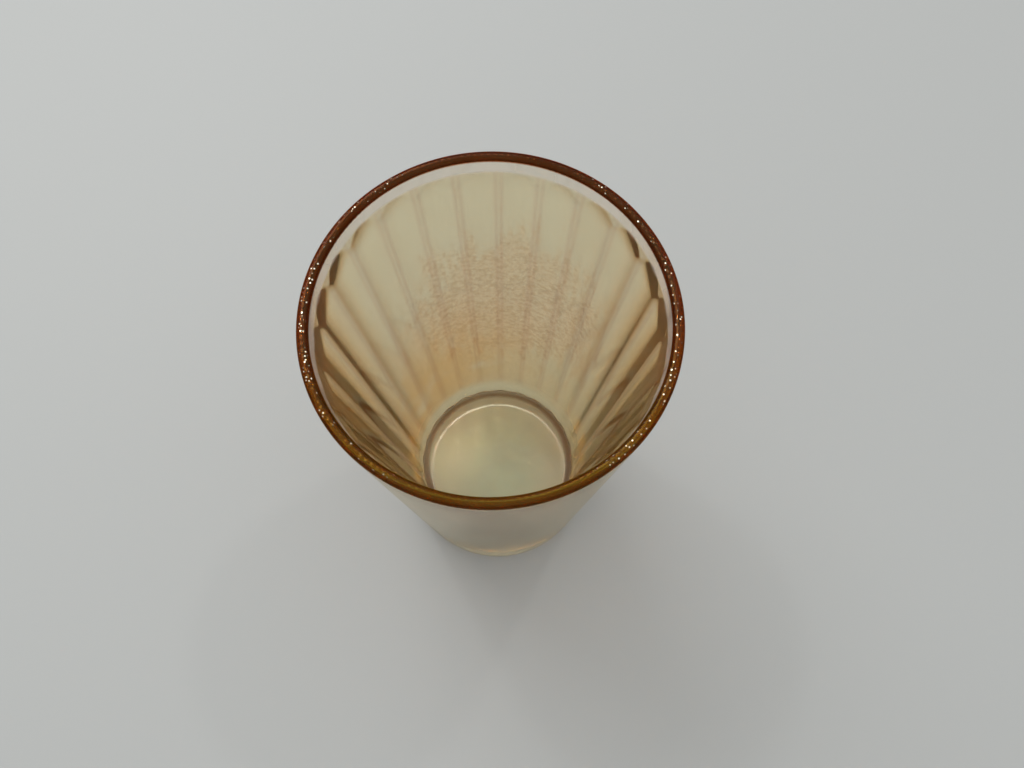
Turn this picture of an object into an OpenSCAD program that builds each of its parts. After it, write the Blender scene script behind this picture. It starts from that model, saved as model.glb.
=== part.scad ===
// Pressed tea glass: a tapered tumbler, smooth outside, with convex arched panels inside.
// The real glass is one pressing. Its four forms are separate solids here, seated face to
// face: the foot carries the base, the base carries the wall, and the wall carries the rim.
// Millimetres, +Z up, origin on the table under the middle of the foot.

/* [Overall size] */
// Height from the table to the top of the rim
glass_h = 94.5; // [80:0.5:125]
// Outer diameter at the middle of the rim bead
rim_d = 62; // [56:0.5:80]
// Outer diameter of the wall where it would meet the table
base_d = 42.7; // [40:0.1:52]

/* [Rim] */
// Thickness of the rounded rim bead
bead_t = 2.05; // [1.8:0.05:3]
// Height of the rim piece, bead and plain band together
rim_h = 2.3; // [2:0.1:6]

/* [Inside] */
// Distance from the outer wall line at the table in to the edge of the inner floor
low_wall_t = 3.35; // [2.6:0.05:6]
// Thickness of the glass from the table to the inner floor
floor_t = 9.2; // [6:0.1:16]
// Radius of the fillet round the inner floor
floor_fillet_r = 1; // [0.6:0.1:2]

/* [Panels] */
// Number of panels round the inner wall
panel_count = 24; // [16:1:32]
// Rise of a panel's crest above the plain inner wall
panel_rise = 0.5; // [0.3:0.05:0.8]
// Radius of the crown across a panel
panel_crown_r = 32; // [20:1:60]
// Radius of the curve that ends a panel in an arch
panel_end_r = 9.5; // [6:0.5:16]
// Plain wall between the rim piece and the top of an arch
panel_gap = 0.3; // [0.2:0.1:4]
// Turn of the first panel from the X axis, in degrees
panel_turn = 5; // [0:0.5:22]

/* [Foot] */
// Height of the foot ring
foot_h = 1.3; // [1:0.1:2]
// Radius of the rounded edge round the foot
foot_round_r = 1; // [0.5:0.1:1]
// Width of the foot ring, from the outer wall line at the table in to the hollow
foot_w = 4.85; // [3.5:0.05:8]
// Rise of the domed glass above the foot ring, at the middle of the hollow
dome_rise = 0.5; // [0.3:0.1:1.5]

/* [Hidden] */
$fn = 180;

// How far a cutting shape runs past what it cuts
overrun = 1;
glass_colour = [0.85, 0.66, 0.36];
rim_colour = [0.5, 0.27, 0.07];

// The inner floor and the hollow under the base follow the outer diameter at the table
floor_d = base_d - 2 * low_wall_t;
hollow_d = base_d - 2 * foot_w;

// Middle of the bead in the section, and the wall lines that touch it
bead_r = bead_t / 2;
bead_x = rim_d / 2 - bead_r;
bead_z = glass_h - bead_r;

// Lean from upright, in degrees, of the line from a point on the wall that touches the bead.
// Side is 1 for the outer wall and -1 for the inner wall.
function wall_lean(x, z, side) =
    atan2(bead_x - x, bead_z - z) + side * asin(bead_r / norm([bead_x - x, bead_z - z]));

// Point at a distance from a centre, on the outer or inner side square to the wall line
function square_to_wall(x, z, radius, lean, side) =
    [x + side * radius * cos(lean), z - side * radius * sin(lean)];

outer_lean = wall_lean(base_d / 2, 0, 1);
inner_lean = wall_lean(floor_d / 2, floor_t, -1);

// Middle of the floor's fillet, one radius from both the floor and the inner wall line
fillet_z = floor_t + floor_fillet_r;
fillet_x = floor_d / 2 + floor_fillet_r * tan(inner_lean) - floor_fillet_r / cos(inner_lean);

// Middle of the foot's rounded edge, one radius from both the table and the outer wall line
foot_x = base_d / 2 + foot_round_r * tan(outer_lean) - foot_round_r / cos(outer_lean);

// Heights where one piece seats on the next
wall_z = fillet_z;
rim_z = glass_h - rim_h;

// Sphere of the dome over the hollow
dome_r = (pow(hollow_d / 2, 2) + pow(dome_rise, 2)) / (2 * dome_rise);

// A panel lies along the inner wall line. Its arch ends where the end curve sinks to the wall.
arch_reach = sqrt(2 * panel_end_r * panel_rise - pow(panel_rise, 2));
panel_bottom = -(floor_t - foot_h) / 2;
panel_top = (rim_z - panel_gap - floor_t) / cos(inner_lean) - arch_reach + panel_end_r;

// Glass section from the axis out, without the panels
module glass_section() {
    difference() {
        union() {
            polygon([
                [0, 0],
                [foot_x, 0],
                square_to_wall(foot_x, foot_round_r, foot_round_r, outer_lean, 1),
                square_to_wall(bead_x, bead_z, bead_r, outer_lean, 1),
                [bead_x, bead_z],
                square_to_wall(bead_x, bead_z, bead_r, inner_lean, -1),
                square_to_wall(fillet_x, fillet_z, -floor_fillet_r, inner_lean, -1),
                [fillet_x, floor_t],
                [0, floor_t]
            ]);
            translate([bead_x, bead_z]) circle(bead_r);
            translate([foot_x, foot_round_r]) circle(foot_round_r);
        }
        translate([fillet_x, fillet_z]) circle(floor_fillet_r);
    }
}

// The plain glass between two heights
module glass_between(low, high) {
    rotate_extrude() {
        intersection() {
            glass_section();
            translate([0, low]) square([rim_d, high - low]);
        }
    }
}

// A round post with a rounded top edge. A panel is the sliver where it breaks the inner wall.
module panel_post() {
    shank = panel_top - panel_bottom;
    rotate_extrude() {
        square([panel_crown_r, shank - panel_end_r]);
        square([panel_crown_r - panel_end_r, shank]);
        translate([panel_crown_r - panel_end_r, shank - panel_end_r]) circle(panel_end_r);
    }
}

// One panel on the +X side, its back sunk into the wall by half the bead's thickness
module panel() {
    width = rim_d * sin(180 / panel_count) + 2 * panel_rise;
    translate([floor_d / 2, 0, floor_t])
    rotate([0, inner_lean, 0])
    translate([-panel_rise, 0, panel_bottom]) {
        intersection() {
            translate([panel_crown_r, 0, 0]) panel_post();
            translate([0, -width / 2, 0])
                cube([panel_rise + bead_r, width, panel_top - panel_bottom]);
        }
    }
}

// Repeats a form once for each panel
module each_panel() {
    for (turn = [0 : panel_count - 1]) {
        rotate(panel_turn + turn * 360 / panel_count) children();
    }
}

// The ends of the panels that run down into the base
module panel_feet() {
    intersection() {
        each_panel() panel();
        translate([0, 0, foot_h]) cylinder(r = rim_d / 2, h = wall_z - foot_h);
    }
}

// The panels on the wall, each cut to its own sector so that the arches meet on a plane.
// Behind the plain band they end inside the glass.
module arched_panels() {
    reach = rim_d / 2;
    half_width = reach * tan(180 / panel_count);
    each_panel() intersection() {
        panel();
        translate([0, 0, wall_z])
        linear_extrude(rim_z - panel_gap / 2 - wall_z) {
            polygon([[0, 0], [reach, -half_width], [reach, half_width]]);
        }
    }
}

// Ring that the glass stands on
module foot() {
    color(glass_colour)
    difference() {
        glass_between(0, foot_h);
        translate([0, 0, -overrun]) cylinder(d = hollow_d, h = foot_h + 2 * overrun);
    }
}

// Thick solid base, with the floor, its fillet and the ends of the panels
module base() {
    color(glass_colour)
    difference() {
        union() {
            glass_between(foot_h, wall_z);
            panel_feet();
        }
        intersection() {
            translate([0, 0, foot_h + dome_rise - dome_r]) sphere(dome_r);
            translate([0, 0, foot_h - overrun]) cylinder(d = hollow_d, h = dome_rise + 2 * overrun);
        }
    }
}

// Tapered wall, smooth outside, with the arched panels inside
module panel_wall() {
    color(glass_colour)
    union() {
        glass_between(wall_z, rim_z);
        arched_panels();
    }
}

// Fire-polished bead and the plain band under it
module rim() {
    color(rim_colour)
    glass_between(rim_z, glass_h);
}

foot();
base();
panel_wall();
rim();
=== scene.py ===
"""Chai glass in amber lustre: the look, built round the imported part.

The real glass is one pressing, so one closed skin carries all its forms: the foot, the
solid base, the panelled wall and the fire-polished rim. The skin is a section drawn with
bmesh operators, turned about the Z axis, and then pressed into panels on its inside.
Lengths are in metres in the part's own frame, and angles are in degrees.
"""

import logging
import math
from dataclasses import dataclass, field
from enum import Enum
from functools import cache

import bmesh
import bpy
from mathutils import Matrix, Vector


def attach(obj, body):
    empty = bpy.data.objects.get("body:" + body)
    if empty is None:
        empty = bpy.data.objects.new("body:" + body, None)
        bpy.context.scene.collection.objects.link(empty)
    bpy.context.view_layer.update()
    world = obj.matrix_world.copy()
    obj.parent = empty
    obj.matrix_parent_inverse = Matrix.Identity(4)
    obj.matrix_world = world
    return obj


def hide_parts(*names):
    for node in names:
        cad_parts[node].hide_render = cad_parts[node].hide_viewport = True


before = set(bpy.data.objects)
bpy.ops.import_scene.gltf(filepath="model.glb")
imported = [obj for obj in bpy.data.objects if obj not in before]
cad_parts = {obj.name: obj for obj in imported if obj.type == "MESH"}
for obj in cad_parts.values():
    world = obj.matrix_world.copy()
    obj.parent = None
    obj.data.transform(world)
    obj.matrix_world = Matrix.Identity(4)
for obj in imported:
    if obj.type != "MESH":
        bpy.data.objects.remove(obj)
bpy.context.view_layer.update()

LOG = logging.getLogger("chai_glass")
MILLIMETRE = 0.001

# Points nearer than this are one point, and radii below the second are on the axis
MERGE_GAP = 1e-7
AXIS_GAP = 1e-6

Colour = tuple[float, float, float]
Span = tuple[float, float]
Socket = bpy.types.NodeSocket
Value = float | Socket
Tint = Colour | Socket

BLACK: Colour = (0.0, 0.0, 0.0)
WHITE: Colour = (1.0, 1.0, 1.0)


class Hand(Enum):
    """The way an arc is drawn, seen with X to the right and Z up."""

    LEFT = 1
    RIGHT = -1


class Mixing(Enum):
    """The way two colours are mixed."""

    MIX = "MIX"
    MULTIPLY = "MULTIPLY"


@dataclass(frozen=True)
class GlassSizes:
    """Sizes of the plain glass, as in the part's source apart from the hollow's step."""

    height: float = 94.5 * MILLIMETRE
    rim_radius: float = 31.0 * MILLIMETRE
    bead_radius: float = 1.025 * MILLIMETRE
    base_radius: float = 21.35 * MILLIMETRE
    floor_radius: float = 18.0 * MILLIMETRE
    floor_height: float = 9.2 * MILLIMETRE
    fillet: float = 1.0 * MILLIMETRE
    foot_height: float = 1.3 * MILLIMETRE
    foot_round: float = 1.0 * MILLIMETRE
    hollow_radius: float = 16.5 * MILLIMETRE
    hollow_step: float = 0.03 * MILLIMETRE
    dome_rise: float = 0.5 * MILLIMETRE

    @property
    def bead(self) -> Vector:
        """Middle of the rim's bead in the section."""
        return Vector((self.rim_radius - self.bead_radius, 0, self.height - self.bead_radius))

    def lean(self, x: float, z: float, side: int) -> float:
        """Lean of the wall line that starts at a point and touches the bead.

        Args:
            x: Radius of the point.
            z: Height of the point.
            side: 1 for the outer wall and -1 for the inner wall.

        Returns:
            The angle from upright, in degrees.
        """
        run, rise = self.bead.x - x, self.bead.z - z
        swing = math.asin(self.bead_radius / math.hypot(run, rise))
        return math.degrees(math.atan2(run, rise) + side * swing)

    @property
    def outer_lean(self) -> float:
        """Lean of the outer wall."""
        return self.lean(self.base_radius, 0, 1)

    @property
    def inner_lean(self) -> float:
        """Lean of the inner wall."""
        return self.lean(self.floor_radius, self.floor_height, -1)

    def inner_radius(self, z: float) -> float:
        """Radius of the plain inner wall at a height."""
        return self.floor_radius + (z - self.floor_height) * math.tan(math.radians(self.inner_lean))

    def outer_radius(self, z: float) -> float:
        """Radius of the outer wall at a height."""
        return self.base_radius + z * math.tan(math.radians(self.outer_lean))

    def middle_radius(self, z: float) -> float:
        """Radius halfway through the wall at a height."""
        return (self.inner_radius(z) + self.outer_radius(z)) / 2


@dataclass(frozen=True)
class PanelSizes:
    """Sizes of the panels that the press leaves on the inner wall."""

    count: int = 24
    rise: float = 0.43 * MILLIMETRE
    crown: float = 40.0 * MILLIMETRE
    end_lean: float = 9.0
    end_round: float = 0.36 * MILLIMETRE
    plain_band: float = 3.0 * MILLIMETRE
    turn: float = 5.4
    valley_round: float = 0.35 * MILLIMETRE
    edge_round: float = 0.03 * MILLIMETRE
    foot_blend: float = 0.25 * MILLIMETRE

    @property
    def reach(self) -> float:
        """Length of the slope that ends a panel in an arch."""
        return self.rise / math.tan(math.radians(self.end_lean))

    @property
    def step(self) -> float:
        """Angle from one panel to the next."""
        return 360 / self.count

    @property
    def first_valley(self) -> float:
        """Angle from the X axis to the valley beside the first panel."""
        return self.turn - self.step / 2


@dataclass(frozen=True)
class SectionParts:
    """Number of parts in each line and arc of the section, and where the close rows lie."""

    dome: int = 14
    hollow_edge: int = 5
    foot_face: int = 3
    foot_edge: int = 8
    outer_wall: int = 10
    bead: int = 22
    band: int = 3
    arches: int = 54
    below_arches: int = 12
    panels: int = 16
    panel_feet: int = 6
    fillet: int = 10
    floor: int = 6
    close_above: float = 0.2 * MILLIMETRE
    close_depth: float = 3.8 * MILLIMETRE
    middling_depth: float = 12 * MILLIMETRE
    feet_height: float = 6 * MILLIMETRE


class Section:
    """A pen that draws the section of a turned piece in the XZ plane."""

    def __init__(self, x: float, z: float) -> None:
        """Puts the pen down at a radius and a height."""
        self.mesh = bmesh.new()
        self.tip = self.mesh.verts.new((x, 0, z))

    def line(self, x: float, z: float, parts: int = 1) -> None:
        """Draws a straight line from the tip.

        Args:
            x: Radius of the line's end.
            z: Height of the line's end.
            parts: Number of equal parts in the line.
        """
        step = (Vector((x, 0, z)) - self.tip.co) / parts
        for _ in range(parts):
            drawn = bmesh.ops.extrude_vert_indiv(self.mesh, verts=[self.tip])
            self.tip = drawn["verts"][0]
            bmesh.ops.translate(self.mesh, verts=[self.tip], vec=step)

    def arc(self, x: float, z: float, degrees: float, parts: int, hand: Hand = Hand.LEFT) -> None:
        """Draws an arc from the tip.

        Args:
            x: Radius of the arc's middle.
            z: Height of the arc's middle.
            degrees: Angle that the arc turns through.
            parts: Number of equal parts in the arc.
            hand: The way that the arc is drawn.
        """
        drawn = bmesh.ops.spin(
            self.mesh, geom=[self.tip], cent=(x, 0, z), axis=(0, -hand.value, 0),
            angle=math.radians(degrees), steps=parts, use_merge=False,
        )
        self.tip = next(part for part in drawn["geom_last"] if isinstance(part, bmesh.types.BMVert))

    def turn(self, steps: int, start: float) -> bmesh.types.BMesh:
        """Turns the section once about the Z axis.

        Args:
            steps: Number of columns round the piece.
            start: Angle of the first column.

        Returns:
            The closed mesh.
        """
        mesh = self.mesh
        to_start = Matrix.Rotation(math.radians(start), 3, "Z")
        bmesh.ops.rotate(mesh, verts=mesh.verts[:], matrix=to_start)
        bmesh.ops.spin(
            mesh, geom=mesh.verts[:] + mesh.edges[:], cent=(0, 0, 0), axis=(0, 0, 1),
            angle=2 * math.pi, steps=steps, use_merge=True,
        )
        bmesh.ops.remove_doubles(mesh, verts=mesh.verts[:], dist=MERGE_GAP)
        bmesh.ops.recalc_face_normals(mesh, faces=mesh.faces[:])
        return mesh


def rounded_most(a: float, b: float, width: float) -> float:
    """The larger of two lengths, with the corner between them rounded.

    Args:
        a: One length.
        b: The other length.
        width: Difference under which the corner is rounded.

    Returns:
        The larger length, or a little more near the corner.
    """
    share = max(0.0, width - abs(a - b)) / width
    return max(a, b) + share * share * width / 4


@dataclass
class PressedGlass:
    """The glass: one closed skin, turned and then pressed into panels on its inside."""

    sizes: GlassSizes = field(default_factory=GlassSizes)
    panels: PanelSizes = field(default_factory=PanelSizes)
    parts: SectionParts = field(default_factory=SectionParts)
    columns_per_panel: int = 18
    column_pull: float = 0.6

    def section(self) -> Section:
        """Draws the glass from the middle of the underside, round the rim, to the floor.

        Returns:
            The pen, with the whole section drawn.
        """
        s, parts = self.sizes, self.parts
        crown = s.foot_height + s.dome_rise
        rise = crown - s.hollow_step
        dome = (s.hollow_radius**2 + rise**2) / (2 * rise)
        dome_angle = math.degrees(math.asin(s.hollow_radius / dome))
        pen = Section(0, crown)
        pen.arc(0, crown - dome, dome_angle, parts.dome, Hand.RIGHT)
        pen.arc(s.hollow_radius + s.hollow_step, s.hollow_step, 90, parts.hollow_edge)
        self.foot_and_outer_wall(pen)
        pen.arc(s.bead.x, s.bead.z, 180 - s.inner_lean + s.outer_lean, parts.bead)
        self.inner_wall_and_floor(pen)
        return pen

    def foot_and_outer_wall(self, pen: Section) -> None:
        """Draws the foot's face, its rounded edge and the smooth outer wall up to the bead.

        Args:
            pen: The pen, at the inner edge of the foot's face.
        """
        s, parts = self.sizes, self.parts
        lean = math.radians(s.outer_lean)
        foot_x = s.base_radius + s.foot_round * math.tan(lean) - s.foot_round / math.cos(lean)
        pen.line(foot_x, 0, parts.foot_face)
        pen.arc(foot_x, s.foot_round, 90 - s.outer_lean, parts.foot_edge)
        top_x = s.bead.x + s.bead_radius * math.cos(lean)
        top_z = s.bead.z - s.bead_radius * math.sin(lean)
        pen.line(top_x, top_z, parts.outer_wall)

    def inner_wall_and_floor(self, pen: Section) -> None:
        """Draws the inner wall down to the floor, with close rows where the arches are.

        Args:
            pen: The pen, at the inner side of the bead.
        """
        s, parts = self.sizes, self.parts
        lean = math.radians(s.inner_lean)
        arch_top = s.height - self.panels.plain_band + parts.close_above
        stops = (
            (arch_top, parts.band),
            (arch_top - parts.close_depth, parts.arches),
            (arch_top - parts.middling_depth, parts.below_arches),
            (s.floor_height + parts.feet_height, parts.panels),
        )
        for z, rows in stops:
            pen.line(s.inner_radius(z), z, rows)
        middle_z = s.floor_height + s.fillet
        middle_x = s.floor_radius + s.fillet * math.tan(lean) - s.fillet / math.cos(lean)
        edge_x = middle_x + s.fillet * math.cos(lean)
        edge_z = middle_z - s.fillet * math.sin(lean)
        pen.line(edge_x, edge_z, parts.panel_feet)
        pen.arc(middle_x, middle_z, 90 - s.inner_lean, parts.fillet, Hand.RIGHT)
        pen.line(0, s.floor_height, parts.floor)

    def crest(self, angle: float, along: float, reach_back: float) -> float:
        """How far a panel stands out from the plain inner wall.

        Args:
            angle: Angle from the panel's middle, in radians.
            along: Distance up the wall from the floor.
            reach_back: Radius of the plain wall there.

        Returns:
            The rise square to the wall, below zero where the panel has sunk into it.
        """
        s, p = self.sizes, self.panels
        lean = math.radians(s.inner_lean)
        arch_end = (s.height - p.plain_band - s.floor_height) / math.cos(lean)
        past = along - (arch_end - p.reach)
        across = reach_back * math.sin(angle)
        sunk = reach_back * (1 - math.cos(angle)) * math.cos(lean)
        sunk += p.crown - math.sqrt(p.crown**2 - across**2)
        sunk += rounded_most(0.0, past * math.tan(math.radians(p.end_lean)), p.end_round)
        return (p.rise - sunk) / math.cos(angle)

    def pressed_radius(self, off: float, z: float) -> float:
        """Radius of the pressed inner wall.

        Args:
            off: Angle from the nearest panel's middle, in radians.
            z: Height of the point.

        Returns:
            The radius, with valleys and edges rounded as the fire polish leaves them.
        """
        s, p = self.sizes, self.panels
        lean, step = math.radians(s.inner_lean), math.radians(p.step)
        plain = s.inner_radius(z)
        rise = 0.0
        for _ in range(2):
            along = (z - s.floor_height) / math.cos(lean) - rise * math.tan(lean)
            radius = plain - rise / math.cos(lean)
            here = self.crest(off, along, radius)
            beside = self.crest(step - off, along, radius)
            rise = rounded_most(rounded_most(here, beside, p.valley_round), 0.0, p.edge_round)
        return plain - rise / math.cos(lean)

    def press(self, mesh: bmesh.types.BMesh) -> None:
        """Draws the columns towards the valleys and moves the inner wall onto its panels.

        Args:
            mesh: The turned skin.
        """
        s, p = self.sizes, self.panels
        step, first = math.radians(p.step), math.radians(p.first_valley)
        pressed_radius = cache(self.pressed_radius)
        for vert in mesh.verts:
            radius, z = math.hypot(vert.co.x, vert.co.y), vert.co.z
            if radius < AXIS_GAP:
                continue
            angle = math.atan2(vert.co.y, vert.co.x)
            turn = ((angle - first) / step) % 1.0
            angle -= step * self.column_pull * math.sin(2 * math.pi * turn) / (2 * math.pi)
            if radius < s.middle_radius(z) and s.floor_height + AXIS_GAP < z < s.bead.z:
                off = abs((angle - first) % step - step / 2)
                pressed = pressed_radius(round(off, 7), round(z, 8))
                gap = min(p.foot_blend, s.inner_radius(z) - pressed + 1e-9)
                radius = -rounded_most(-radius, -pressed, gap)
            vert.co = (radius * math.cos(angle), radius * math.sin(angle), z)

    def skin(self) -> bmesh.types.BMesh:
        """Turns the section and presses its inside.

        Returns:
            The closed skin, with its faces pointing out of the glass.
        """
        steps = self.panels.count * self.columns_per_panel
        skin = self.section().turn(steps, self.panels.first_valley)
        self.press(skin)
        bmesh.ops.recalc_face_normals(skin, faces=skin.faces[:])
        for face in skin.faces:
            face.smooth = True
        return skin

    def build(self) -> bpy.types.Object:
        """Makes the glass.

        Returns:
            The object, at the origin with its place in its mesh.
        """
        skin = self.skin()
        data = bpy.data.meshes.new("glass_skin")
        skin.to_mesh(data)
        skin.free()
        glass = bpy.data.objects.new("glass_skin", data)
        bpy.context.scene.collection.objects.link(glass)
        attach(glass, "root")
        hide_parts("foot", "base", "panel_wall", "rim")
        return glass

    def dress(self, glass: bpy.types.Object) -> None:
        """Gives the glass its lustre finish."""
        finish = LustreFinish(self.sizes, self.panels)
        glass.data.materials.append(finish.material())


@dataclass(frozen=True)
class Grain:
    """A noise over the glass, about 0.5 on the mean.

    Scale is the number of patches in a metre, layers the number of finer layers, rough
    their share, and stretch a scale along each axis.
    """

    scale: float
    layers: float
    rough: float = 0.5
    stretch: Colour = WHITE


@dataclass(frozen=True)
class Spot:
    """A soft round patch of the film, about its middle and out to its reach."""

    middle: Colour
    reach: float


class NodeBench:
    """A material's node tree, with short ways to place and join its nodes."""

    def __init__(self, name: str) -> None:
        """Starts an empty material.

        Args:
            name: Name of the material.
        """
        self.material = bpy.data.materials.new(name)
        self.material.use_nodes = True
        self.tree = self.material.node_tree
        self.tree.nodes.clear()
        self.place = self.node("ShaderNodeTexCoord").outputs["Object"]
        self.x, self.y, self.z = self.node("ShaderNodeSeparateXYZ", {0: self.place}).outputs

    def node(self, kind: str, inputs: dict | None = None, **settings: object) -> bpy.types.Node:
        """Places a node.

        Args:
            kind: Blender's name of the node's type.
            inputs: Values or sockets for its inputs, by name or number.
            **settings: Attributes of the node, such as its operation.

        Returns:
            The node.
        """
        made = self.tree.nodes.new(kind)
        for name, value in settings.items():
            setattr(made, name, value)
        for name, value in (inputs or {}).items():
            if isinstance(value, Socket):
                self.tree.links.new(value, made.inputs[name])
            else:
                made.inputs[name].default_value = value
        return made

    def math(self, operation: str, *values: Value) -> Socket:
        """Joins numbers with one operation and returns the result."""
        made = self.node("ShaderNodeMath", dict(enumerate(values)), operation=operation)
        return made.outputs[0]

    def product(self, first: Value, *others: Value) -> Value:
        """Multiplies numbers.

        Args:
            first: The first number.
            *others: The other numbers.

        Returns:
            Their product.
        """
        for other in others:
            first = self.math("MULTIPLY", first, other)
        return first

    def gap(self, value: Value, mark: Value) -> Socket:
        """Distance of a number from a mark, above or below it."""
        return self.math("ABSOLUTE", self.math("SUBTRACT", value, mark))

    def sway(self, value: Value, noise: Value, amount: float) -> Socket:
        """Moves a number up and down by an amount times a noise of about 0.5 on the mean."""
        return self.math("MULTIPLY_ADD", self.math("SUBTRACT", noise, 0.5), amount, value)

    def ramp(self, value: Value, span: Span, ends: Span = (0.0, 1.0)) -> Socket:
        """Maps a number smoothly from a span to a result between two ends."""
        inputs = dict(enumerate((value, *span, *ends)))
        return self.node("ShaderNodeMapRange", inputs, interpolation_type="SMOOTHSTEP").outputs[0]

    def fade(self, value: Value, span: Span) -> Socket:
        """Falls smoothly from 1 to 0 over a span."""
        return self.ramp(value, span, (1.0, 0.0))

    def noise(self, grain: Grain) -> Socket:
        """Lays a noise on the object's own coordinates.

        Args:
            grain: The noise.

        Returns:
            Its value, about 0.5 on the mean.
        """
        laid = self.node("ShaderNodeMapping", {"Vector": self.place, "Scale": grain.stretch})
        made = self.node("ShaderNodeTexNoise", {
            "Vector": laid.outputs[0], "Scale": grain.scale,
            "Detail": grain.layers, "Roughness": grain.rough,
        })
        return made.outputs["Fac"]

    def spot(self, spot: Spot) -> Socket:
        """Lays a soft round patch.

        Args:
            spot: The patch.

        Returns:
            1 in its middle, falling to 0 at its reach.
        """
        inputs = {0: self.place, 1: spot.middle}
        apart = self.node("ShaderNodeVectorMath", inputs, operation="DISTANCE")
        return self.fade(apart.outputs["Value"], (0.0, spot.reach))

    def blend(self, share: Value, first: Tint, second: Tint, mixing: Mixing = Mixing.MIX) -> Socket:
        """Mixes two colours.

        Args:
            share: Share of the second colour.
            first: First colour.
            second: Second colour.
            mixing: The way they mix.

        Returns:
            The mixed colour.
        """
        made = self.node("ShaderNodeMix", data_type="RGBA", blend_type=mixing.value)
        for number, value in ((0, share), (6, first), (7, second)):
            if isinstance(value, Socket):
                self.tree.links.new(value, made.inputs[number])
            elif isinstance(value, tuple):
                made.inputs[number].default_value = (*value, 1)
            else:
                made.inputs[number].default_value = value
        return made.outputs[2]

    def stain(self, share: Value, colour: Tint, stain: Tint) -> Socket:
        """Multiplies a share of a colour by a stain."""
        return self.blend(share, colour, self.blend(1.0, colour, stain, Mixing.MULTIPLY))


@dataclass(frozen=True)
class FilmMarks:
    """Where the film changes.

    Each span is where one form fades into the next: a height, a radius, or a distance
    from a line. The spans of the valleys are in shares of a panel's width.
    """

    floor_start: Span = (8.5 * MILLIMETRE, 9.0 * MILLIMETRE)
    floor_end: Span = (9.3 * MILLIMETRE, 9.6 * MILLIMETRE)
    floor_edge: Span = (15.5 * MILLIMETRE, 17.0 * MILLIMETRE)
    wall_start: Span = (9.3 * MILLIMETRE, 10.5 * MILLIMETRE)
    base_end: Span = (12.5 * MILLIMETRE, 16.0 * MILLIMETRE)
    low_end: Span = (12.0 * MILLIMETRE, 52.0 * MILLIMETRE)
    band_start: Span = (90.5 * MILLIMETRE, 91.6 * MILLIMETRE)
    rim_start: Span = (93.5 * MILLIMETRE, 93.9 * MILLIMETRE)
    rim_front: Span = (-26.0 * MILLIMETRE, 2.0 * MILLIMETRE)
    outer_start: Span = (1.0 * MILLIMETRE, 3.5 * MILLIMETRE)
    wall_middle: Span = (-0.3 * MILLIMETRE, 0.3 * MILLIMETRE)
    # Width of the painted shade beside the valleys, and of the paler line on each valley
    valley: Span = (0.08, 0.16)
    valley_line: Span = (0.0, 0.04)
    valley_line_share: Span = (0.3, 1.0)
    deep_facing: Span = (0.20, 0.30)
    deep_height: Span = (20.0 * MILLIMETRE, 60.0 * MILLIMETRE)
    deep_share: Span = (0.35, 1.0)
    # Where the painted glints lie, on the bead and on the hollow's ring
    glint_start: Span = (93.5 * MILLIMETRE, 93.7 * MILLIMETRE)
    glint_radius: float = 29.95 * MILLIMETRE
    glint_width: Span = (0.5 * MILLIMETRE, 0.7 * MILLIMETRE)
    glint_sides: Span = (10.0 * MILLIMETRE, 20.0 * MILLIMETRE)
    ring_end: Span = (0.5 * MILLIMETRE, 1.0 * MILLIMETRE)
    ring_width: Span = (0.1 * MILLIMETRE, 0.4 * MILLIMETRE)
    ring_glint_width: Span = (0.1 * MILLIMETRE, 0.3 * MILLIMETRE)
    cool_middle: float = 1.0 * MILLIMETRE
    cool_end: Span = (3.0 * MILLIMETRE, 13.0 * MILLIMETRE)
    mottled: Span = (50.0 * MILLIMETRE, 80.0 * MILLIMETRE)


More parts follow.
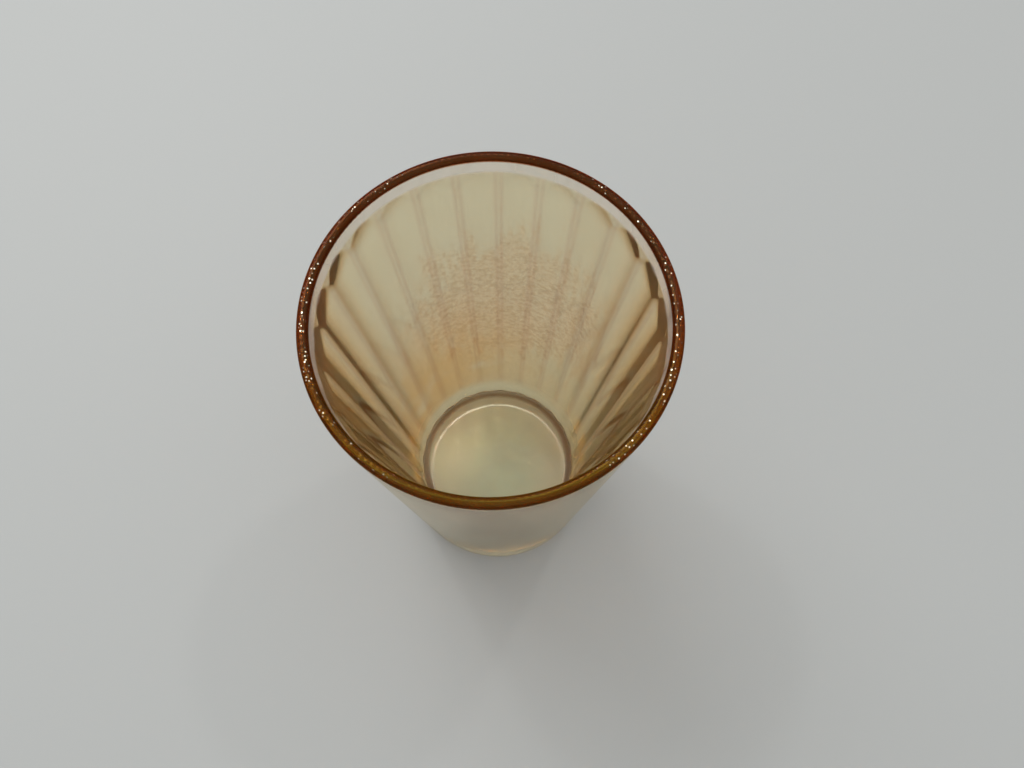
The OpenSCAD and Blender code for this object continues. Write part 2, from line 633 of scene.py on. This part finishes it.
class Zones:
    """Masks for the forms of the glass, each from 0 to 1 over the whole skin."""

    def __init__(self, bench: NodeBench, sizes: GlassSizes, panels: PanelSizes) -> None:
        """Draws the masks.

        Args:
            bench: The node tree.
            sizes: Sizes of the plain glass.
            panels: Sizes of the panels.
        """
        self.bench, self.sizes, self.panels = bench, sizes, panels
        self.marks = marks = FilmMarks()
        self.across = self.radius()
        self.turn = self.panel_turn()
        self.behind = bench.node("ShaderNodeNewGeometry").outputs["Backfacing"]
        self.outside = self.outer_side()
        self.wall = bench.ramp(bench.z, marks.wall_start)
        self.rim = bench.ramp(bench.z, marks.rim_start)
        self.band = bench.ramp(bench.z, marks.band_start)
        self.outer_wall = bench.ramp(bench.z, marks.outer_start)
        self.floor = bench.product(
            bench.ramp(bench.z, marks.floor_start), bench.fade(bench.z, marks.floor_end)
        )
        # The floor's edge against the wall, where shade is painted
        self.edge = bench.ramp(self.across, marks.floor_edge)
        # Painted shade beside the valleys between the panels
        self.valley = self.valleys()
        self.deep = self.deep_light()
        self.ring = self.hollow_ring(marks.ring_width)
        # Rows of painted glints, on top of the bead and on the hollow's ring
        self.painted_glint_rows = bench.math(
            "MAXIMUM", self.bead_row(), self.hollow_ring(marks.ring_glint_width)
        )

    def radius(self) -> Socket:
        """Measures how far a point is from the Z axis.

        Returns:
            The distance.
        """
        bench = self.bench
        squares = (bench.product(bench.x, bench.x), bench.product(bench.y, bench.y))
        return bench.math("SQRT", bench.math("ADD", *squares))

    def panel_turn(self) -> Socket:
        """Counts the panels round the glass.

        Returns:
            The angle from the first valley, in panels.
        """
        bench = self.bench
        angle = bench.math("ARCTAN2", bench.y, bench.x)
        past = bench.math("SUBTRACT", angle, math.radians(self.panels.first_valley))
        return bench.math("DIVIDE", past, math.radians(self.panels.step))

    def outer_side(self) -> Socket:
        """Parts the outer side of the glass from its inner side.

        Returns:
            1 outside the middle of the wall and 0 inside it.
        """
        bench, sizes = self.bench, self.sizes
        start = sizes.middle_radius(0)
        slope = (sizes.middle_radius(sizes.height) - start) / sizes.height
        middle = bench.math("MULTIPLY_ADD", bench.z, slope, start)
        return bench.ramp(bench.math("SUBTRACT", self.across, middle), self.marks.wall_middle)

    def valleys(self) -> Socket:
        """Marks the painted shade beside the valleys between the panels.

        Returns:
            1 beside a valley's line, less on the line itself and 0 on the crowns.
        """
        bench, marks = self.bench, self.marks
        off = bench.math("PINGPONG", self.turn, 0.5)
        line = bench.ramp(off, marks.valley_line, marks.valley_line_share)
        return bench.product(bench.fade(off, marks.valley), line)

    def deep_light(self) -> Socket:
        """Marks where light meets the skin at a slant from inside the glass.

        Returns:
            1 high on the wall and less towards the base, and 0 where light passes straight.
        """
        bench, marks = self.bench, self.marks
        facing = bench.node("ShaderNodeLayerWeight", {"Blend": 0.5}).outputs["Facing"]
        slanted = bench.product(self.behind, bench.ramp(facing, marks.deep_facing))
        return bench.product(slanted, bench.ramp(bench.z, marks.deep_height, marks.deep_share))

    def hollow_ring(self, width: Span) -> Socket:
        """Marks the edge of the hollow under the base.

        Args:
            width: Distances from the edge over which the mask fades out.

        Returns:
            1 on the edge.
        """
        bench = self.bench
        near = bench.fade(bench.gap(self.across, self.sizes.hollow_radius), width)
        return bench.product(near, bench.fade(bench.z, self.marks.ring_end))

    def bead_row(self) -> Socket:
        """Marks the row on top of the bead where the glints are painted.

        Returns:
            1 on the row, at the left and the right of the glass.
        """
        bench, marks = self.bench, self.marks
        near = bench.fade(bench.gap(self.across, marks.glint_radius), marks.glint_width)
        sides = bench.ramp(bench.math("ABSOLUTE", bench.x), marks.glint_sides)
        return bench.product(near, bench.ramp(bench.z, marks.glint_start), sides)

    def spread(self, floor: Tint, inner: Tint, foot: Tint, outer: Tint, rim: Tint) -> Socket:
        """Puts one value on each form.

        Args:
            floor: Value on the inner floor, and on the hollow under it.
            inner: Value on the panelled wall.
            foot: Value on the foot.
            outer: Value on the outer wall.
            rim: Value on the rim.

        Returns:
            The value over the whole skin.
        """
        blend = self.bench.blend
        inside = blend(self.wall, floor, inner)
        outside = blend(self.outer_wall, foot, outer)
        return blend(self.rim, blend(self.outside, inside, outside), rim)


@dataclass(frozen=True)
class FilmTints:
    """What the film leaves of the light each time that it meets the skin, with painted shade beside
    the valleys and at the floor's edge.
    """

    high: Colour = (0.995, 0.96, 0.805)
    low: Colour = (1.0, 0.94, 0.735)
    band: Colour = (0.99, 0.99, 0.97)
    base: Colour = (0.99, 0.945, 0.75)
    outer: Colour = (0.985, 0.94, 0.80)
    deep: Colour = (1.0, 0.55, 0.08)
    rim: Colour = (0.58, 0.19, 0.03)
    rim_front: Colour = (0.66, 0.42, 0.03)
    floor: Colour = (0.955, 0.98, 0.91)
    floor_side: Colour = (1.0, 0.94, 0.89)
    foot: Colour = (0.98, 1.0, 0.95)
    # Painted shade at the floor's edge against the wall
    edge: Colour = (0.76, 0.62, 0.48)
    peach: Colour = (1.0, 0.80, 0.58)
    rose: Colour = (1.0, 0.925, 0.88)
    mottle: Colour = (0.89, 0.825, 0.775)
    # Painted shade, a pinkish grey, beside the valleys between the panels
    valley: Colour = (0.95, 0.90, 0.90)


@dataclass(frozen=True)
class FilmHaze:
    """The milky part of the film: its colours, and its share on each form, with the colour and
    share of the painted glint dots.
    """

    wall: Colour = (0.92, 0.74, 0.38)
    band: Colour = (0.94, 0.95, 0.92)
    floor: Colour = (0.97, 0.97, 0.84)
    outer: Colour = (0.95, 0.95, 0.63)
    rim: Colour = (0.10, 0.035, 0.004)
    # Pale colour of the painted glint dots
    painted_glint: Colour = (0.90, 0.82, 0.64)
    wall_share: float = 0.006
    band_share: float = 0.32
    outer_share: float = 0.19
    inward_share: float = 0.08
    floor_share: float = 0.30
    # Less milky film at the floor's edge, which darkens the painted shade there
    edge_shade_share: float = 0.05
    cream_share: float = 0.24
    rim_share: float = 0.05
    # Milky share on the painted glint dots
    painted_glint_share: float = 0.6
    patches: Span = (0.7, 1.3)
    roughness: float = 0.25
    thickness: float = 500.0
    index: float = 1.8


@dataclass(frozen=True)
class FilmPatches:
    """Noises and spots that make the film uneven, and the spans that draw them."""

    cloud: Grain = Grain(90.0, 3.0)
    streaks: Grain = Grain(520.0, 3.0, 0.65, (1.0, 1.0, 0.12))
    mottle: Grain = Grain(900.0, 5.0, 0.70, (1.0, 1.0, 1.4))
    peach: Spot = Spot((-0.015, 0.017, 0.026), 0.036)
    rose: Spot = Spot((0.0045, 0.025, 0.051), 0.036)
    cream: Spot = Spot((-0.010, 0.001, 0.0092), 0.012)
    low_sway: float = 30.0 * MILLIMETRE
    floor_sway: float = 6.0 * MILLIMETRE
    peach_span: Span = (0.25, 0.5)
    rose_ragged: float = 1.6
    rose_span: Span = (0.15, 0.60)
    mottle_span: Span = (0.44, 0.60)
    mottle_on_rose: float = 0.7
    mottle_elsewhere: Span = (0.4, 0.15)


@dataclass(frozen=True)
class PolishedSurface:
    """Fineness of the fire polish: its waves, and the dimples of the rim and the ring; also the
    spacing and size of the painted glint dots.
    """

    index: float = 1.5
    roughness: Span = (0.025, 0.075)
    waves: Grain = Grain(160.0, 2.0, stretch=(1.0, 1.0, 0.3))
    wave_span: Span = (0.3, 0.7)
    fine: Grain = Grain(900.0, 3.0)
    fine_share: float = 0.15
    floor_calm: float = 0.1
    dimples: Grain = Grain(330.0, 1.0)
    dimple_span: Span = (0.35, 0.65)
    dimples_per_panel: float = 7.0
    dimple_depth: float = 3.0
    bump: float = 0.15
    bump_height: float = 0.06 * MILLIMETRE
    # Spacing and size of the painted glint dots
    painted_glints_per_metre: float = 1350.0
    painted_glint_size: Span = (0.12, 0.28)


class LustreFinish:
    """Fired amber lustre on clear pressed glass."""

    def __init__(self, sizes: GlassSizes, panels: PanelSizes) -> None:
        """Lays out the masks and noises of the film.

        Args:
            sizes: Sizes of the plain glass.
            panels: Sizes of the panels.
        """
        self.tints, self.haze = FilmTints(), FilmHaze()
        self.patches, self.surface = FilmPatches(), PolishedSurface()
        self.bench = NodeBench("amber_lustre_glass")
        self.zones = Zones(self.bench, sizes, panels)
        self.waves = self.bench.noise(self.surface.waves)
        self.cloud = self.bench.noise(self.patches.cloud)
        self.painted_glints = self.painted_glint_dots()

    def material(self) -> bpy.types.Material:
        """Builds the material.

        Returns:
            The material for the whole skin.
        """
        bench, surface, haze = self.bench, self.surface, self.haze
        normal = self.normal()
        glass = bench.node("ShaderNodeBsdfGlass", {
            "Color": self.tint(),
            "Roughness": bench.ramp(self.waves, surface.wave_span, surface.roughness),
            "IOR": surface.index,
            "Normal": normal,
        })
        milky = bench.node("ShaderNodeBsdfPrincipled", {
            "Base Color": self.haze_colour(),
            "Roughness": haze.roughness,
            # Painted glints: the pale dots are also metallic, so they are partly painted highlight
            # and partly a real reflection of the lamps
            "Metallic": self.painted_glints,
            "IOR": surface.index,
            "Normal": normal,
            "Thin Film Thickness": haze.thickness,
            "Thin Film IOR": haze.index,
        })
        skin = bench.node("ShaderNodeMixShader", {
            0: self.haze_share(), 1: glass.outputs[0], 2: milky.outputs[0],
        })
        bench.node("ShaderNodeOutputMaterial", {"Surface": skin.outputs[0]})
        return bench.material

    def painted_glint_dots(self) -> Socket:
        """Draws painted glints: small bright dots on the bead and on the hollow's ring.

        Returns:
            1 on each dot.
        """
        bench, surface = self.bench, self.surface
        cells = bench.node("ShaderNodeTexVoronoi", {
            "Vector": bench.place, "Scale": surface.painted_glints_per_metre,
        }, feature="F1")
        dots = bench.fade(cells.outputs["Distance"], surface.painted_glint_size)
        return bench.product(dots, self.zones.painted_glint_rows)

    def normal(self) -> Socket:
        """Adds the slight waves of the fire polish, and dimples on the bead and the ring.

        Returns:
            The normal of the skin.
        """
        bench, zones, surface = self.bench, self.zones, self.surface
        fine = bench.noise(surface.fine)
        calm = bench.ramp(zones.floor, (0.0, 1.0), (1.0, surface.floor_calm))
        uneven = bench.math("MULTIPLY_ADD", fine, surface.fine_share, self.waves)
        turn = bench.product(zones.turn, 2 * math.pi * surface.dimples_per_panel)
        dimples = bench.product(
            bench.math("SINE", turn), bench.ramp(bench.noise(surface.dimples), surface.dimple_span)
        )
        where = bench.product(bench.math("ADD", zones.rim, zones.ring), surface.dimple_depth)
        height = bench.math("ADD", bench.product(uneven, calm), bench.product(dimples, where))
        bump = bench.node("ShaderNodeBump", {
            "Strength": surface.bump, "Distance": surface.bump_height, "Height": height,
        })
        return bump.outputs[0]

    def haze_colour(self) -> Socket:
        """Colours the milky part of the film, with painted glints as pale dots on the bead and the
        ring.

        Returns:
            Its colour over the whole skin.
        """
        bench, zones, haze = self.bench, self.zones, self.haze
        inner = bench.blend(zones.band, haze.wall, haze.band)
        film = zones.spread(haze.floor, inner, haze.outer, haze.outer, haze.rim)
        # Painted glints: pale dots on the bead and the ring
        return bench.blend(self.painted_glints, film, haze.painted_glint)

    def haze_share(self) -> Socket:
        """Sets how much of the film is milky, with more on the painted glint dots.

        Returns:
            The milky share over the whole skin.
        """
        bench, zones, haze = self.bench, self.zones, self.haze
        whole = (0.0, 1.0)
        inner = bench.ramp(zones.band, whole, (haze.wall_share, haze.band_share))
        cream = bench.product(bench.spot(self.patches.cream), haze.cream_share)
        # Less milky film at the floor's edge, for the painted shade there
        plain_floor = bench.ramp(zones.edge, whole, (haze.floor_share, haze.edge_shade_share))
        # Painted glint dots raise the milky share on the rim and on the outer side
        rim = bench.ramp(self.painted_glints, whole, (haze.rim_share, haze.painted_glint_share))
        outer = bench.ramp(zones.behind, whole, (haze.outer_share, haze.inward_share))
        foot = bench.blend(self.painted_glints, outer, (haze.painted_glint_share,) * 3)
        share = zones.spread(bench.math("ADD", cream, plain_floor), inner, foot, outer, rim)
        patchy = bench.ramp(self.waves, self.surface.wave_span, haze.patches)
        return bench.product(share, bench.blend(zones.floor, patchy, WHITE))

    def tint(self) -> Socket:
        """Tints the film, darker where light is reflected inside the glass.

        Returns:
            The tint over the whole skin.
        """
        bench, zones, tints = self.bench, self.zones, self.tints
        rim = bench.blend(bench.ramp(bench.y, zones.marks.rim_front), tints.rim_front, tints.rim)
        film = zones.spread(self.floor_tint(), self.wall_tint(), tints.foot, tints.outer, rim)
        deep = bench.product(zones.deep, zones.spread(BLACK, WHITE, BLACK, WHITE, WHITE))
        return bench.stain(deep, film, tints.deep)

    def wall_tint(self) -> Socket:
        """Tints the panelled wall, from the base up to the plain band.

        Returns:
            The tint of the wall.
        """
        bench, zones, tints, patches = self.bench, self.zones, self.tints, self.patches
        depth = bench.sway(bench.z, self.cloud, patches.low_sway)
        wall = bench.blend(bench.ramp(depth, zones.marks.low_end), tints.low, tints.high)
        uneven = bench.ramp(self.cloud, patches.peach_span)
        wall = bench.stain(bench.product(bench.spot(patches.peach), uneven), wall, tints.peach)
        ragged = bench.sway(
            bench.spot(patches.rose), bench.noise(patches.streaks), patches.rose_ragged
        )
        rose = bench.ramp(ragged, patches.rose_span)
        wall = bench.stain(rose, wall, tints.rose)
        wall = bench.stain(self.mottle(rose), wall, tints.mottle)
        # Painted shade beside the valleys between the panels
        wall = bench.stain(zones.valley, wall, tints.valley)
        wall = bench.blend(bench.fade(bench.z, zones.marks.base_end), wall, tints.base)
        return bench.blend(zones.band, wall, tints.band)

    def mottle(self, rose: Socket) -> Socket:
        """Draws the fine specks of the film, closest on the rose patch.

        Args:
            rose: The mask of the rose patch.

        Returns:
            The mask of the specks.
        """
        bench, patches = self.bench, self.patches
        elsewhere = bench.ramp(bench.z, self.zones.marks.mottled, patches.mottle_elsewhere)
        strength = bench.math("MULTIPLY_ADD", rose, patches.mottle_on_rose, elsewhere)
        specks = bench.ramp(bench.noise(patches.mottle), patches.mottle_span)
        return bench.product(specks, strength)

    def floor_tint(self) -> Socket:
        """Tints the inner floor: cool in the middle, warm at its sides, and darker brown at its
        edge, a painted shade in the corner against the wall.

        Returns:
            The tint of the floor.
        """
        bench, marks, tints = self.bench, self.zones.marks, self.tints
        aside = bench.gap(bench.x, marks.cool_middle)
        aside = bench.sway(aside, self.cloud, self.patches.floor_sway)
        floor = bench.blend(bench.ramp(aside, marks.cool_end), tints.floor, tints.floor_side)
        # Painted shade: darker brown at the floor's edge against the wall
        return bench.blend(self.zones.edge, floor, tints.edge)


@dataclass(frozen=True)
class Lamp:
    """A square lamp that faces the glass."""

    name: str
    place: Colour
    size: float
    power: float

    def hang(self) -> None:
        """Hangs the lamp in its place."""
        data = bpy.data.lights.new(self.name, "AREA")
        data.size = self.size
        data.energy = self.power
        lamp = bpy.data.objects.new(self.name, data)
        lamp.location = self.place
        lamp.rotation_euler = (-Vector(self.place)).to_track_quat("-Z", "Y").to_euler()
        bpy.context.scene.collection.objects.link(lamp)


@dataclass(frozen=True)
class Studio:
    """The plain pale table, the soft sky, the lamps and the camera."""

    table_reach: float = 3.0
    table_drop: float = 0.05 * MILLIMETRE
    table_tone: Colour = (0.298, 0.306, 0.299)
    table_roughness: float = 0.6
    sky_strength: float = 1.28
    horizon_share: float = 0.1
    horizon_span: Span = (-0.1, 0.8)
    lamps: tuple[Lamp, ...] = (
        Lamp("key_lamp", (-0.30, 0.42, 0.65), 0.5, 3.0),
        Lamp("left_spark", (-0.30, 0.33, 0.85), 0.05, 0.6),
        Lamp("right_spark", (0.30, 0.33, 0.85), 0.05, 0.6),
    )
    camera_place: Colour = (0.00341, -0.06382, 0.2402)
    camera_tilt: float = 19.83
    sensor_width: float = 36.0
    focal_length: float = 35.156

    def table(self) -> None:
        """Lays the table just under the glass."""
        mesh = bmesh.new()
        bmesh.ops.create_grid(mesh, x_segments=1, y_segments=1, size=self.table_reach)
        bmesh.ops.translate(mesh, verts=mesh.verts[:], vec=(0, 0, -self.table_drop))
        data = bpy.data.meshes.new("table")
        mesh.to_mesh(data)
        mesh.free()
        table = bpy.data.objects.new("table", data)
        bpy.context.scene.collection.objects.link(table)
        paint = bpy.data.materials.new("pale_table")
        paint.use_nodes = True
        body = paint.node_tree.nodes["Principled BSDF"]
        body.inputs["Base Color"].default_value = (*self.table_tone, 1)
        body.inputs["Roughness"].default_value = self.table_roughness
        data.materials.append(paint)

    def light(self) -> None:
        """Lights the glass with a sky that is bright overhead, and hangs the lamps."""
        world = bpy.data.worlds.new("studio")
        world.use_nodes = True
        tree = world.node_tree
        place = tree.nodes.new("ShaderNodeTexCoord")
        apart = tree.nodes.new("ShaderNodeSeparateXYZ")
        climb = tree.nodes.new("ShaderNodeMapRange")
        climb.interpolation_type = "SMOOTHSTEP"
        sky = tree.nodes["Background"]
        tree.links.new(place.outputs["Generated"], apart.inputs[0])
        tree.links.new(apart.outputs["Z"], climb.inputs["Value"])
        tree.links.new(climb.outputs[0], sky.inputs["Strength"])
        low, high = self.horizon_span
        climb.inputs["From Min"].default_value = low
        climb.inputs["From Max"].default_value = high
        climb.inputs["To Min"].default_value = self.sky_strength * self.horizon_share
        climb.inputs["To Max"].default_value = self.sky_strength
        sky.inputs["Color"].default_value = (*WHITE, 1)
        bpy.context.scene.world = world
        for lamp in self.lamps:
            lamp.hang()

    def camera(self) -> None:
        """Sets the camera at the photograph's viewing angle."""
        lens = bpy.data.cameras.new("camera")
        lens.sensor_width = self.sensor_width
        lens.lens = self.focal_length
        camera = bpy.data.objects.new("camera", lens)
        camera.location = self.camera_place
        camera.rotation_euler = (math.radians(self.camera_tilt), 0, 0)
        bpy.context.scene.collection.objects.link(camera)
        bpy.context.scene.camera = camera


def main() -> None:
    """Builds the glass with its finish, and the studio round it."""
    logging.basicConfig(level=logging.INFO, format="%(name)s: %(message)s")
    pressed = PressedGlass()
    glass = pressed.build()
    pressed.dress(glass)
    LOG.info("%s: %d faces", glass.name, len(glass.data.polygons))
    studio = Studio()
    studio.table()
    studio.light()
    studio.camera()
    bpy.context.scene.view_settings.view_transform = "Standard"


if __name__ == "__main__":
    main()
